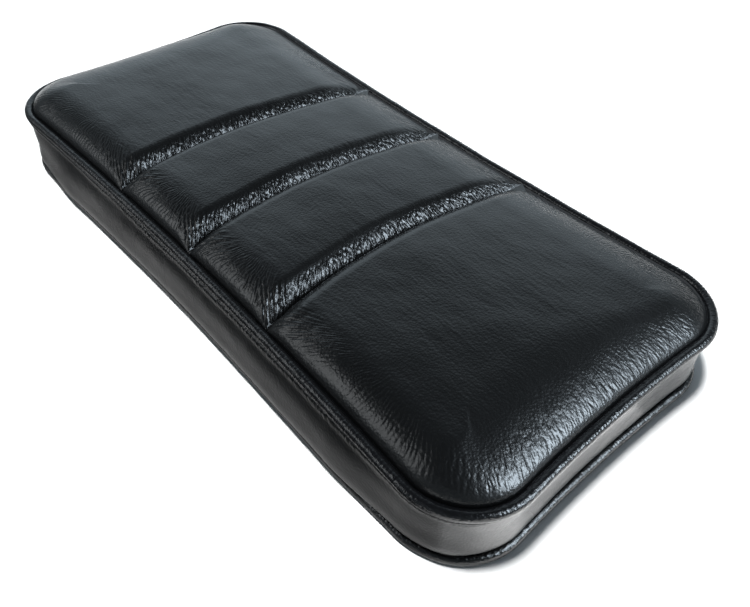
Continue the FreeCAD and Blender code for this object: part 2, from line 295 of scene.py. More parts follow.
def signed_volume(points, faces):
    """A sixth of the sum of a . (b x c) over the faces' triangles: positive when they face
    outwards."""
    a, b, c = points[faces[:, 0]], points[faces[:, 1]], points[faces[:, 2]]
    volume = np.einsum("ij,ij->i", a, np.cross(b, c)).sum()
    if faces.shape[1] == 4:
        d = points[faces[:, 3]]
        volume += np.einsum("ij,ij->i", a, np.cross(c, d)).sum()
    return volume / 6


def make_piece(name, points, quads, triangles=None, uv=None, values=None):
    """A mesh object from arrays of points in millimetres and faces, turned to face outwards.

    uv is the quads' corners' place on the surface in metres, and values holds named numbers
    per point that the material reads.
    """
    triangles = np.zeros((0, 3), int) if triangles is None else triangles
    points = np.asarray(points, float).reshape(-1, 3)
    if signed_volume(points, quads) + signed_volume(points, triangles) < 0:
        quads, triangles = quads[:, ::-1], triangles[:, ::-1]
        uv = None if uv is None else uv[:, ::-1]
    mesh = bpy.data.meshes.new(name)
    mesh.vertices.add(len(points))
    mesh.vertices.foreach_set("co", (points * MM).astype(np.float32).ravel())
    corners = np.concatenate([quads.ravel(), triangles.ravel()]).astype(np.int32)
    starts = np.concatenate([np.arange(len(quads)) * 4,
                             len(quads) * 4 + np.arange(len(triangles)) * 3]).astype(np.int32)
    mesh.loops.add(len(corners))
    mesh.loops.foreach_set("vertex_index", corners)
    mesh.polygons.add(len(starts))
    mesh.polygons.foreach_set("loop_start", starts)
    if uv is not None:
        layer = mesh.uv_layers.new(name="Hide")
        filled = np.zeros((len(corners), 2), np.float32)
        filled[:quads.size] = uv.reshape(-1, 2)
        layer.data.foreach_set("uv", filled.ravel())
    for key, numbers in (values or {}).items():
        attribute = mesh.attributes.new(key, "FLOAT", "POINT")
        attribute.data.foreach_set("value", np.asarray(numbers, np.float32).ravel())
    mesh.update(calc_edges=True)
    mesh.shade_smooth()
    if mesh.validate():
        raise RuntimeError(name + " has faces that Blender had to mend")
    piece = bpy.data.objects.new(name, mesh)
    bpy.context.scene.collection.objects.link(piece)
    return piece


def fit_out(piece, material, nodes):
    """Gives a piece its material and its body, and hides the CAD nodes that it stands for."""
    piece.data.materials.append(material)
    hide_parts(*nodes)
    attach(piece, "root")


def grid_normals(points):
    """Unit normals of a (rows, columns, 3) lattice whose columns close: the cross product of
    the steps along the rows and along the columns."""
    along = np.roll(points, -1, 1) - np.roll(points, 1, 1)
    down = np.gradient(points, axis=0)
    normals = np.cross(along, down)
    length = np.linalg.norm(normals, axis=2, keepdims=True)
    return normals / np.maximum(length, 1e-9)


# ---- top panels ----------------------------------------------------------------------------
SEAM_BOWS = ((2.0, -30, 0.0011), (2.7, -15, 0.0014), (3.4, -8, 0.0019))  # bow, centre, bend
SEAM_SWEEP = 4.2                                 # how far forward a seam's right end may run


def seam_place(index, y):
    """Where a channel seam runs: its CAD line, bowed to the rear left of the middle and swept
    forward on the right: -b + (b + r)(1 - exp(-k (y - c)^2 / (b + r))), r the most forward."""
    bow, centre, bend = SEAM_BOWS[index]
    swing = bow + SEAM_SWEEP
    return SEAM_X[index] - bow + swing * (1 - np.exp(-bend * (y - centre) ** 2 / swing))


def top_height(x, y, rear, front):
    """Height of a top panel above its foot.

    A crown, domed across and lower on the right, falls to the piping as
    (1 - (1 - t/w)^2)^p, with w the roll's width there and p larger where it is gentler, and
    to each channel seam by a share of itself in the same way.
    """
    s = sizes()
    end_w, near_w, far_w = (v / MM for v in (s.end_roll, s.near_roll, s.far_roll))
    nearest, endness = insets(x, y)
    right = ramp(y, -8, 60)
    side_w = near_w + (far_w - near_w) * right
    width = side_w + (end_w * (1 - 0.46 * right) - side_w) * endness
    power = 0.49 + right * (0.33 - 0.18 * endness)
    edge = roll(nearest - s.panel_inset / MM, width, power)
    across_fall = 2.0 * ((y + 8) / 72) ** 2
    right_fall = 2.2 * ramp(y, -10, 68)
    rear_x = np.full_like(x, -HALF_LENGTH) if rear is None else seam_place(rear, y)
    front_x = np.full_like(x, HALF_LENGTH) if front is None else seam_place(front, y)
    middle = np.clip((x - rear_x) / (front_x - rear_x), 0, 1)
    along_rise = 0.9 * (1 - (2 * middle - 1) ** 2)
    crown = CROWN + s.dome / MM - across_fall - right_fall + along_rise - 0.5
    height = crown * edge
    channel_depth = 0.6 + 0.28 * ramp(np.abs(y), 35, 68)     # a share of the height there
    if front is not None:
        height *= 1 - channel_depth * (1 - roll(front_x - x, s.channel_reach / MM, 0.78))
    if rear is not None:
        height *= 1 - channel_depth * (1 - roll(x - rear_x, s.shoulder_reach / MM, 0.6))
    return height


OUTLINE_POINTS = 24000                           # a fine line, later spread at even steps


def half_outline(middle, limit, sign):
    """Half of a flute's outline: from the long side's edge line at middle, round by the rear
    (or, turned half a turn by sign, the front), to the other long side's edge line.

    limit(y) is the channel seam there, or None where the flute runs out to the pad's end.
    """
    x, y = (np.roll(line, OUTLINE_POINTS // 2)
            for line in plan_line(OUTLINE_POINTS, sizes().panel_inset / MM)[:2])
    inside = x < sign * middle
    x, y = x[inside], y[inside]
    if limit is not None:
        edge = sign * limit(sign * y)
        upper, lower = (y > 0) & (x > edge), (y < 0) & (x > edge)
        reach = np.linspace(y[upper][-1], y[lower][0], OUTLINE_POINTS // 6)
        x, y = (np.concatenate([x[upper], sign * limit(sign * reach), x[lower]]),
                np.concatenate([y[upper], reach, y[lower]]))
    return sign * x, sign * y


def spread(x, y, count):
    """count points at even distances along a line, its last point left out."""
    run = np.concatenate([[0], np.cumsum(np.hypot(np.diff(x), np.diff(y)))])
    wanted = np.arange(count) * run[-1] / count
    return np.interp(wanted, run, x), np.interp(wanted, run, y), run[-1]


def graded_rows(reach, finest=0.33, widest=1.5, gathered=9.5, growth=1.06):
    """Distances from the edge: crowded where the roll stands upright, then even over the
    gathered band, then wider towards the middle, as a share of reach."""
    rows = list(np.cumsum([0.0, 0.04, 0.09, 0.15, 0.22, 0.28]))
    step = finest
    while rows[-1] + step < reach:
        rows.append(rows[-1] + step)
        step = finest if rows[-1] < gathered else min(widest, step * growth)
    rows.append(reach)
    return np.array(rows) / reach


COLUMN_STEP = 0.4                                # spacing of a flute's columns at its edge
END_MARGIN = 2                                   # the pad's end to where an end flute counts
# a flute's spine stops short of the sides by half the flute's width, or SPINE_TURN if that
# is less, and by SPINE_MARGIN more
SPINE_MARGIN, SPINE_TURN = 4, 33.0
CROWDED = 0.9                                    # share of columns crowded at a spine's end
SLOT = 1.5                                       # half the width of the slot round the spine
TUCK = 0.3                                       # share of the way in that the skirt turns
SEAM_GAP = 0.1                                   # a flute's edge to the channel seam
CLOTH_GAP = 0.05                                 # a flute's lower face to the backing cloth


def flute_surface(index):
    """Rings of points from a flute's outline in to a slot round its spine.

    Column j starts at outline point O and runs straight to M, a point 1.5 mm short of the
    spine; row i stands at O + f_i (M - O).  The slot is zipped shut with quads.  Three more
    rings turn in below the outline, and a fan of triangles closes the lower face.
    """
    rear = index - 1 if index > 0 else None
    front = index if index < len(SEAMS) else None
    rear_x = -HALF_LENGTH + END_MARGIN if rear is None else SEAM_X[rear]
    front_x = HALF_LENGTH - END_MARGIN if front is None else SEAM_X[front]
    middle, half_x = (rear_x + front_x) / 2, (front_x - rear_x) / 2
    rear_limit = None if rear is None else (lambda y: seam_place(rear, y) + SEAM_GAP)
    front_limit = None if front is None else (lambda y: seam_place(front, y) - SEAM_GAP)
    halves = half_outline(middle, rear_limit, 1), half_outline(middle, front_limit, -1)
    length = max(np.hypot(np.diff(x), np.diff(y)).sum() for x, y in halves)
    count = int(round(length / COLUMN_STEP))
    columns = 2 * count
    (ax, ay, a_length), (bx, by, b_length) = (spread(*half, count) for half in halves)
    ox, oy = np.concatenate([ax, bx]), np.concatenate([ay, by])
    u = np.concatenate([np.arange(count) * a_length / count,
                        a_length + np.arange(count) * b_length / count])
    spine = HALF_WIDTH - SPINE_MARGIN - min(half_x, SPINE_TURN)
    short = half_x / length * CROWDED
    down = np.clip((np.arange(count) / count - short) / (1 - 2 * short), 0, 1)
    my = spine * np.concatenate([1 - 2 * down, 2 * down - 1])
    mx = np.full(columns, middle)
    away = np.hypot(ox - mx, oy - my)
    mx, my = mx + SLOT * (ox - mx) / away, my + SLOT * (oy - my) / away
    share = graded_rows(half_x)[:, None]
    x = ox + (mx - ox) * share
    y = oy + (my - oy) * share
    travel = np.hypot(x - ox, y - oy)
    points = np.stack([x, y, PANEL_FOOT + top_height(x, y, rear, front)], -1)
    normals = grid_normals(points)
    normals *= np.sign(normals[-1, :, 2].mean())
    lift, gather = top_relief(x, y, np.broadcast_to(u, x.shape), rear, front)
    points = points + normals * lift[..., None]

    on_seam = np.zeros(columns, bool)
    for limit in (rear_limit, front_limit):
        if limit is not None:
            on_seam |= np.abs(ox - limit(oy)) < SEAM_GAP / 2
    base = CLOTH_TOP + CLOTH_GAP
    foot = np.where(on_seam, base, PANEL_FOOT)
    tuck_x, tuck_y = ox + (mx - ox) * TUCK, oy + (my - oy) * TUCK
    skirt = np.stack([np.stack([tuck_x, tuck_y, np.full_like(ox, base)], -1),
                      np.stack([tuck_x, tuck_y, foot], -1), np.stack([ox, oy, foot], -1)])
    rings = np.concatenate([skirt, points])
    quads, corner_rows, corner_columns = lattice(len(rings), columns)
    runs = np.append(u, a_length + b_length)
    depth = np.concatenate([np.zeros((len(skirt), columns)), travel])
    depth = np.concatenate([depth, depth[:, :1]], 1)
    uv = np.stack([runs[corner_columns], depth[corner_rows, corner_columns]], -1) * MM

    last = (len(rings) - 1) * columns
    j = np.arange(1, count - 1)
    zip_quads = last + np.stack([j, j + 1, columns - j - 1, columns - j], -1)
    ends = last + np.array([[0, 1, columns - 1], [count, count + 1, count - 1]])
    flat = rings.reshape(-1, 3)
    hub = np.array([[middle, 0, base]])
    c = np.arange(columns)
    fan = np.stack([(c + 1) % columns, c, np.full(columns, len(flat))], -1)
    zip_uv = np.stack([runs[zip_quads - last], np.full(zip_quads.shape, half_x)], -1) * MM
    gather = np.concatenate([np.zeros((len(skirt), columns)), gather]).ravel()
    return (np.concatenate([flat, hub]), np.concatenate([quads, zip_quads]),
            np.concatenate([ends, fan]), np.concatenate([uv, zip_uv]), np.append(gather, 0))


def top_relief(x, y, u, rear, front):
    """What the tight leather does over the foam: gathers along the channels, puckers at the
    side rolls that are strongest beside a channel's end, wrinkles over the end rolls, and a
    low swell all over.  Gives the height along the normal and how gathered the leather is."""
    s = sizes()
    pitch, tall = s.pucker_pitch / MM, s.pucker_height / MM
    nearest, endness = insets(x, y)
    t = nearest - s.panel_inset / MM
    lift = 0.33 * gradient_noise(x / 31 + 7.3, y / 27 + 2.1, 11) * ramp(t, 6, 26)
    lift += 0.10 * gradient_noise(x / 11 + 1.7, y / 9 + 5.2, 12) * ramp(t, 3, 16)
    gather = np.zeros_like(x)
    seam_ends = np.zeros_like(x)
    for seam, facing, height, seed in ((front, 1, tall, 21), (rear, -1, 0.35 * tall, 31)):
        if seam is None:
            continue
        d = facing * (seam_place(seam, y) - x)
        seam_ends = np.maximum(seam_ends, np.exp(-np.maximum(d, 0) / 17))
        near = ramp(d, 0.2, 1.2) * (1 - ramp(d, 3.8, 6.2)) * (1 - ramp(np.abs(y), 62, 71))
        level = 0.75 + 0.45 * gradient_noise(y / 17 + seam * 3, 0.5, seed + 4)
        leaning = gathers(y, d, pitch, 0.55, 0.9, seed + seam)
        counter = gathers(y, d, pitch * 1.25, -0.8, 0.9, seed + 5 + seam)
        crossing = gathers(d, y, pitch * 1.1, 0.35, 1.3, seed + 9 + seam)
        lift += near * level * height * (0.8 * leaning + 0.65 * counter + 0.55 * crossing)
        gather = np.maximum(gather, near * (1.0 if facing > 0 else 0.4))
    left_side, right_side = ((1 - endness) * here for here in (y < 0, y > 0))
    band = ramp(t, 1.0, 3.5) * (1 - ramp(t, 9, 17))
    fold = gathers(u, t, 4.4, 0.5, 0.8, 41, 1.0)
    crimp = gathers(u, t, 2.3, -0.3, 0.8, 42, 0.9)
    patch = 0.6 + 0.5 * gradient_noise(u / 23, t / 30, 43)
    lift += left_side * band * (0.55 * fold * seam_ends ** 1.3
                                + crimp * patch * (0.14 + 0.30 * seam_ends))
    lift += right_side * band * (0.10 * crimp + 0.16 * fold * seam_ends)
    end_band = endness * ramp(t, 0.4, 3.0) * (1 - ramp(t, 8, 18))
    lift += end_band * (0.055 * gathers(u, t, 1.6, 0.25, 0.9, 51)
                        + 0.06 * gathers(u, t, 3.1, -0.2, 0.9, 52) * patch)
    for gathered in (left_side * band * (0.12 + 0.3 * seam_ends), right_side * band * 0.15,
                     end_band * (0.17 + 0.20 * patch)):
        gather = np.maximum(gather, gathered)
    return lift, gather


class ARMREST_OT_top_panels(bpy.types.Operator):
    """Makes the four stuffed leather flutes of the top"""
    bl_idname = "armrest.top_panels"
    bl_label = "Top panels"

    def execute(self, context):
        leather = black_leather("Pigmented calf, stuffed", top=True)
        for index, name in enumerate(FLUTES):
            points, quads, triangles, uv, gather = flute_surface(index)
            piece = make_piece(name + "_flute", points, quads, triangles, uv,
                               {"gather": gather})
            fit_out(piece, leather, [name + "_panel", name + "_filler"])
        return {"FINISHED"}


# ---- piping and boxing ---------------------------------------------------------------------
PIPING_STATIONS, BEAD_POINTS = 2300, 27
BEAD_ROW, WALL_ROW = 0.4, 0.5                    # spacing of the rows on their surfaces
BEAD_TURN = math.radians(166)                    # how far the bead's section goes each way
FLANGE_REACH, FLANGE_HALF = 5.0, 0.5             # the flange's reach and half its thickness
FLOOR_GAP = 0.02                                 # the lowest that a piping or cloth comes


def carried(line, out, z):
    """A closed section carried along the plan line: each point stands out along the line's
    normal by out, at height z.  out and z are (section points, stations) arrays.  Gives the
    points, the quads, and each quad's corners' distance along the line and section row."""
    x, y, nx, ny, run, total = line
    points = np.stack([x + nx * out, y + ny * out, z], -1)
    quads, corner_rows, corner_columns = lattice(len(points), len(run), wrap_rows=True)
    return points, quads, corner_columns * total / len(run), corner_rows


def foot_flare(x, ny):
    """How far the left side stands out at its foot, where the board keeps it straighter than
    the seams keep the top: a plateau along the side, fading to nothing at the corners."""
    return sizes().foot_flare / MM * ramp(-ny, 0.6, 0.95) * (1 - ramp(np.abs(x), 95, 143))


def top_drop(line):
    """How far the upper piping wanders in and down along its seam."""
    turn = line[4] / line[5]
    return (0.18 * gradient_noise(turn * 24, 0.4, 63, 24),
            0.16 * gradient_noise(turn * 30, 0.4, 64, 30))


def foot_drop(line):
    """How far the lower piping sits in, a little along the sides and out at the left foot,
    and down, which is nothing."""
    x, _, _, ny, run, total = line
    side = ramp(np.abs(ny), 0.6, 0.95)
    wave = gradient_noise(run / total * 22, 0.4, 65, 22)
    return 0.5 * side + 0.2 * wave - foot_flare(x, ny), np.zeros_like(run)


def piping_surface(centre_z, seed, drop):
    """A bead round the plan line, with its sewn flange run in behind it.

    Section: a circle of the bead's radius, less a little tick once per cord strand, open over
    28 degrees behind, where a stub 1 mm thick runs in.  drop(line) sets the bead in and down.
    """
    line = plan_line(PIPING_STATIONS)
    run, total = line[4:]
    angles = np.linspace(-BEAD_TURN, BEAD_TURN, BEAD_POINTS)[:, None]
    ticks = total / round(total / (sizes().tick_pitch / MM))
    wander = 0.5 * gradient_noise(run / total * 90, 0.3, seed, 90)
    phase = run / ticks + 0.22 * np.sin(angles) + wander
    tick = np.abs(np.sin(np.pi * phase)) ** 0.7 - 0.75
    depth = 0.09 + 0.07 * gradient_noise(run / total * 40, 0.7, seed + 1, 40)
    swell = 0.08 * gradient_noise(run / total * 90, angles * 0.8, seed + 2, 90)
    radius = BEAD - 0.06 + swell + depth * tick
    inset, lower = drop(line)
    flat = np.zeros((2, len(run)))
    out = np.concatenate([radius * np.cos(angles) - inset, flat - FLANGE_REACH])
    z = np.concatenate([centre_z - lower + radius * np.sin(angles),
                        centre_z + FLANGE_HALF * np.array([[1], [-1]]) + flat])
    points, quads, along, row = carried(line, out, np.maximum(z, FLOOR_GAP))
    return points, quads, np.stack([along, row * BEAD_ROW], -1) * MM


class ARMREST_OT_pipings(bpy.types.Operator):
    """Makes the piping round the top and round the foot"""
    bl_idname = "armrest.pipings"
    bl_label = "Pipings"

    def execute(self, context):
        leather = piping_leather()
        for name, height, drop in (("top_piping", TOP_SEAM, top_drop),
                                   ("bottom_piping", FOOT_SEAM, foot_drop)):
            points, quads, uv = piping_surface(height, 61, drop)
            piece = make_piece(name, points, quads, uv=uv)
            fit_out(piece, leather, [name + "_cover", name + "_cord"])
        return {"FINISHED"}


WALL_STATIONS, WALL_ROWS = 1500, 53
HIDDEN_FOOT = -0.07                              # share of the height hidden by the piping
WALL_THICKNESS, RIM_THICKNESS = 1.0, 0.8         # of the wall, and at its two rims
INNER_FROM, INNER_TO = -2.9, 0.6                 # the inner face is held between these


def boxing_surface():
    """The soft upright wall: its outer face, and an inner face 1 mm behind.

    From the top: tucked under the piping, out over a ridge, in to a hollow, out to a belly and
    tucked in over the lower piping.  Along the left side the ridge wanders and is crimped, and
    the wall leans out towards its foot as 1 - f^3, f being the share of its height.  Over the
    ends the belly is flatter.  A notch between two soft lips marks the join at the rear.
    """
    s = sizes()
    line = plan_line(WALL_STATIONS)
    x, y, nx, ny, run, total = line
    turn = run / total
    low, high = FOOT_HIGH[2] - 0.5, TOP_SEAM - BEAD + 0.6
    f = np.linspace(HIDDEN_FOOT, 1, WALL_ROWS)[:, None]
    z = low + (high - low) * f
    left = ramp(-ny, 0.45, 0.95)
    ends = ramp(np.abs(nx), 0.55, 0.97)
    flare = foot_flare(x, ny)
    wave = gradient_noise(turn * 34, 0.2, 71, 34)
    slow = gradient_noise(turn * 12, 0.6, 72, 12)
    front_corner = bell(x, 150, 22) * bell(y, -72, 14)
    crimped = np.clip(left * ramp(x, -100, -45) + 0.45 * front_corner, 0, 1)

    ridge_z = high - 0.8 - 0.5 * crimped - 0.6 * wave * crimped
    ridge_out = (s.ridge / MM) * (0.75 - 0.1 * crimped + 0.18 * slow)
    ridge = ridge_out * np.where(z > ridge_z, bell(z, ridge_z, 1.2),
                                 bell(z, ridge_z, 1.4 + 0.5 * crimped))
    hollow = 0.15 * bell(z, low + 11.0, 5.0)
    belly_z = low + 4.0 + 1.6 * ramp(x, 40, 140) * left
    full = 0.55 - 0.3 * left - 0.35 * ends + 0.2 * slow
    belly = (s.belly / MM) * full * bell(z, belly_z, 3.9)
    tuck = (2.0 + 0.5 * ends + 0.8 * flare) * (1 - ramp(z, low, low + 2.2 + 1.7 * ends))
    tuck = tuck + 1.6 * ramp(z, high - 1.1, high)
    crimp = gathers(run, z, 2.4, 0.5, 0.9, 73) + 0.6 * gathers(run, z, 1.5, -0.4, 0.9, 76)
    crimp = crimp * bell(z, ridge_z, 1.6)
    faint = 0.05 * gradient_noise(turn * 110, z / 7, 74, 110)
    long_swell = 0.25 * gradient_noise(turn * 22, z / 20, 75, 22)
    from_join = np.minimum(run, total - run)
    join = 0.25 * bell(from_join, 2.2, 1.6) - 1.0 * bell(from_join, 0, 0.55)
    lean = (1.5 * flare + 0.5 * left) * (1 - np.clip(f, 0, 1) ** 3)
    out = ridge + belly - hollow - tuck + (0.02 + 0.3 * crimped) * crimp
    out = out + faint + long_swell + join + lean

    inner = np.minimum(out, INNER_TO)[::-1] - WALL_THICKNESS
    inner[0], inner[-1] = out[-1] - RIM_THICKNESS, out[0] - RIM_THICKNESS
    inner = np.maximum(inner, INNER_FROM)
    height = np.concatenate([z, z[::-1]]) + np.zeros_like(run)
    points, quads, along, row = carried(line, np.concatenate([out, inner]), height)
    gather = np.concatenate([0.6 * crimped * bell(z, ridge_z, 2.0), np.zeros_like(out)])
    return points, quads, np.stack([along, row * WALL_ROW], -1) * MM, gather


class ARMREST_OT_boxing(bpy.types.Operator):
    """Makes the padded upright side between the two pipings"""
    bl_idname = "armrest.boxing"
    bl_label = "Boxing"

    def execute(self, context):
        points, quads, uv, gather = boxing_surface()
        piece = make_piece("boxing", points, quads, uv=uv, values={"gather": gather})
        fit_out(piece, black_leather("Pigmented calf, boxing", top=False),
                ["boxing_band", "side_wadding"])
        return {"FINISHED"}


# ---- underside -----------------------------------------------------------------------------
CLOTH_INSET = 2.5                                # plan line to the cloth's edge
HOLE_RADIUS = 4.5                                # holes under the tee nuts
CLOTH_CELL = 2.5                                 # spacing of the cloth's lattice
HALF_CELLS = (52, 20)                            # lattice cells each way from the middle
WINDOW = 4                                       # half a window, in cells
CLOTH_HEIGHT, CLOTH_HIGHEST = 0.22, 0.6          # lower face: its level, and its highest
STAPLE_LIFT, STAPLE_WIDTH = 0.33, 1.6            # how far up and how far round staples draw it
RIPPLES_FULL = 6                                 # ripples are full this far from a staple
WIRES_BELOW = 0.3                                # below this, a staple's points are its crown
EDGE_POINTS = 6000                               # points of the cloth's edge line


def rectangle_cells(reach_x, reach_y):
    """Lattice cells round a rectangle, anticlockwise from its lower left corner."""
    a, b = 2 * reach_x, 2 * reach_y
    xs = np.concatenate([np.arange(a), np.full(b, a), a - np.arange(a), np.zeros(b, int)])
    ys = np.concatenate([np.zeros(a, int), np.arange(b), np.full(a, b), b - np.arange(b)])
    return xs - reach_x, ys - reach_y


def cloth_plan():
    """The cloth's plan as points and quads, and its rims: four holes, then the outer edge.

    A square lattice with four square windows; rings run from each window's edge in to its
    round hole, and from the lattice's edge out to the cloth's edge line.
    """
    half_x, half_y = HALF_CELLS
    columns, rows = 2 * half_x + 1, 2 * half_y + 1
    gx, gy = np.meshgrid(np.arange(-half_x, half_x + 1), np.arange(-half_y, half_y + 1))
    bolt_x, bolt_y = (int(round(bolt / CLOTH_CELL)) for bolt in (BOLT_X, BOLT_Y))
    number = np.arange(columns * rows).reshape(rows, columns)
    corner = np.stack([number[:-1, :-1], number[:-1, 1:], number[1:, 1:], number[1:, :-1]], -1)
    mid_x, mid_y = np.abs(gx[:-1, :-1] + 0.5), np.abs(gy[:-1, :-1] + 0.5)
    solid = (np.abs(mid_x - bolt_x) > WINDOW) | (np.abs(mid_y - bolt_y) > WINDOW)
    plan = [np.stack([gx * CLOTH_CELL, gy * CLOTH_CELL], -1).reshape(-1, 2)]
    quads, rims = [corner[solid]], []
    count = len(plan[0])

    def ring(inner, target, steps):
        """Rings from the lattice points inner to the curve target, all of one length."""
        nonlocal count
        start = plan[0][inner]
        share = np.linspace(0, 1, steps + 1)[1:, None, None]
        plan.append((start + (target - start) * share).reshape(-1, 2))
        numbers = count + np.arange(steps * len(inner)).reshape(steps, -1)
        rows = np.concatenate([inner[None], numbers])
        after = np.roll(rows, -1, 1)
        quads.append(np.stack([rows[:-1], after[:-1], after[1:], rows[1:]], -1).reshape(-1, 4))
        count += steps * len(inner)
        rims.append(rows[-1])

    cx, cy = rectangle_cells(WINDOW, WINDOW)
    turn = np.arctan2(cy, cx)
    for sx, sy in ((-1, -1), (1, -1), (1, 1), (-1, 1)):
        inner = (sy * bolt_y + cy + half_y) * columns + sx * bolt_x + cx + half_x
        ring(inner, np.stack([sx * BOLT_X + HOLE_RADIUS * np.cos(turn),
                              sy * BOLT_Y + HOLE_RADIUS * np.sin(turn)], -1), 6)
    cx, cy = rectangle_cells(half_x, half_y)
    inner = (cy + half_y) * columns + cx + half_x
    edge = np.stack(plan_line(EDGE_POINTS, CLOTH_INSET)[:2], -1)
    lattice_turn = np.arctan2(cy / half_y, cx / half_x)
    edge_turn = np.unwrap(np.arctan2(edge[:, 1] / HALF_WIDTH, edge[:, 0] / HALF_LENGTH))
    place = np.interp((lattice_turn - edge_turn[0]) % (2 * np.pi), edge_turn - edge_turn[0],
                      np.arange(EDGE_POINTS))
    ring(inner, edge[place.astype(int)], 10)
    quads[-1] = quads[-1][:, ::-1]      # these rings run outwards, the holes' rings inwards

    plan, quads = np.concatenate(plan), np.concatenate(quads)
    used = np.zeros(len(plan), bool)
    used[quads.ravel()] = True
    renumber = np.cumsum(used) - 1
    return plan[used], renumber[quads], [renumber[rim] for rim in rims]


def underside_surface():
    """The non-woven cloth, stapled flat, with a round hole under each tee nut.

    Lower face: 0.22 mm up, drawn up another 0.33 mm at each staple, with slack ripples
    between; upper face against the board.  Walls round the rims join the two faces.
    """
    plan, quads, rims = cloth_plan()
    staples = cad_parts["cover_staples"].data.vertices
    wires = np.empty(3 * len(staples), np.float32)
    staples.foreach_get("co", wires)
    wires = wires.reshape(-1, 3) / MM
    wires = np.unique(np.round(wires[wires[:, 2] < WIRES_BELOW][:, :2], 1), axis=0)
    gap = np.sqrt(((plan[:, None] - wires[None]) ** 2).sum(-1)).min(1)
    slack = 0.16 * gradient_noise(plan[:, 0] / 9, plan[:, 1] / 9, 81)
    slack = slack + 0.10 * gradient_noise(plan[:, 0] / 26, plan[:, 1] / 22, 82)
    low = (CLOTH_HEIGHT + slack * np.minimum(gap / RIPPLES_FULL, 1)
           + STAPLE_LIFT * bell(gap, 0, STAPLE_WIDTH))
    low = np.clip(low, FLOOR_GAP, CLOTH_HIGHEST)
    points = np.concatenate([np.column_stack([plan, low]),
                             np.column_stack([plan, np.full(len(plan), BOARD_FACE)])])
    faces = [quads[:, ::-1], quads + len(plan)]
    for rim in rims:
        after = np.roll(rim, -1)
        wall = np.stack([rim, after, after + len(plan), rim + len(plan)], -1)
        # a hole's wall faces in towards its middle, the edge's wall outwards
        faces.append(wall if rim is rims[-1] else wall[:, ::-1])
    return points, np.concatenate(faces)


class ARMREST_OT_underside(bpy.types.Operator):
    """Makes the cloth over the underside, with its bolt holes"""
    bl_idname = "armrest.underside"
    bl_label = "Underside cloth"

    def execute(self, context):
        points, quads = underside_surface()
        piece = make_piece("underside_cloth", points, quads)
        fit_out(piece, underside_cloth(), ["underside_cover"])
        return {"FINISHED"}


class ARMREST_OT_inner_parts(bpy.types.Operator):
    """Finishes the parts that keep their CAD shape: board, nuts, staples, threads and foam"""
    bl_idname = "armrest.inner_parts"
    bl_label = "Inner parts"

    def execute(self, context):
        finishes = {
            plywood(): ["base_board"],
            zinc_steel("Zinc-plated steel, stamped", 0.38): ["tee_nuts"],
            zinc_steel("Galvanised staple wire", 0.3): ["cover_staples", "flange_staples"],
            bonded_thread(): ["boxing_join_thread", "bottom_seam_thread", "top_seam_thread",
                              *[name + "_channel_thread" for name in SEAMS]],
            soft_foam(): ["foam_core"],
            cotton_scrim(): ["backing_cloth"],
        }
        for material, nodes in finishes.items():
            for node in nodes:
                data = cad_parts[node].data
                data.materials.clear()
                data.materials.append(material)
        return {"FINISHED"}


# ---- materials -----------------------------------------------------------------------------
def linear(hex_colour):
    """An sRGB hex colour as linear red, green, blue and alpha."""
    parts = np.array([int(hex_colour[i:i + 2], 16) for i in (1, 3, 5)]) / 255
    parts = np.where(parts <= 0.04045, parts / 12.92, ((parts + 0.055) / 1.055) ** 2.4)
    return (*parts, 1.0)


def every(millimetres):
    """A pattern's scale from the size of one of its repeats."""
    return 1 / (millimetres * MM)


def feed(node, inputs):
    """Gives a node's inputs a number, or links them from a socket or a node's first output."""
    for key, value in inputs.items():
        if isinstance(value, bpy.types.Node):
            value = value.outputs[0]
        if isinstance(value, bpy.types.NodeSocket):
            node.id_data.links.new(value, node.inputs[key])
        else:
            node.inputs[key].default_value = value


def add(tree, kind, inputs=None, **settings):
    """Adds a shader node with its settings and inputs."""
    node = tree.nodes.new("ShaderNode" + kind)
    for key, value in settings.items():
        setattr(node, key, value)
    feed(node, inputs or {})
    return node


def new_material(name, colour, roughness, **sockets):
    """A material with a bare Principled shader; sockets are set on the shader itself."""
    material = bpy.data.materials.new(name)
    material.use_nodes = True
    tree = material.node_tree
    tree.nodes.clear()
    shader = add(tree, "BsdfPrincipled",
                 {"Base Color": linear(colour), "Roughness": roughness, **sockets})
    add(tree, "OutputMaterial", {"Surface": shader})
    return material, tree, shader


def relief_material(name, colour, roughness, kind, pattern, height, strength, depth, ior=1.5,
                    **settings):
    """A material of one colour, with the relief of one texture: the node's kind, its inputs
    and settings, the output read as height, and the bump's strength and depth in mm."""
    material, tree, shader = new_material(name, colour, roughness, IOR=ior)
    place = add(tree, "TexCoord").outputs["Object"]
    texture = add(tree, kind, {"Vector": place, **pattern}, **settings)
    bump = add(tree, "Bump", {"Height": texture.outputs[height], "Strength": strength,
                              "Distance": depth * MM})
    feed(shader, {"Normal": bump})
    return material


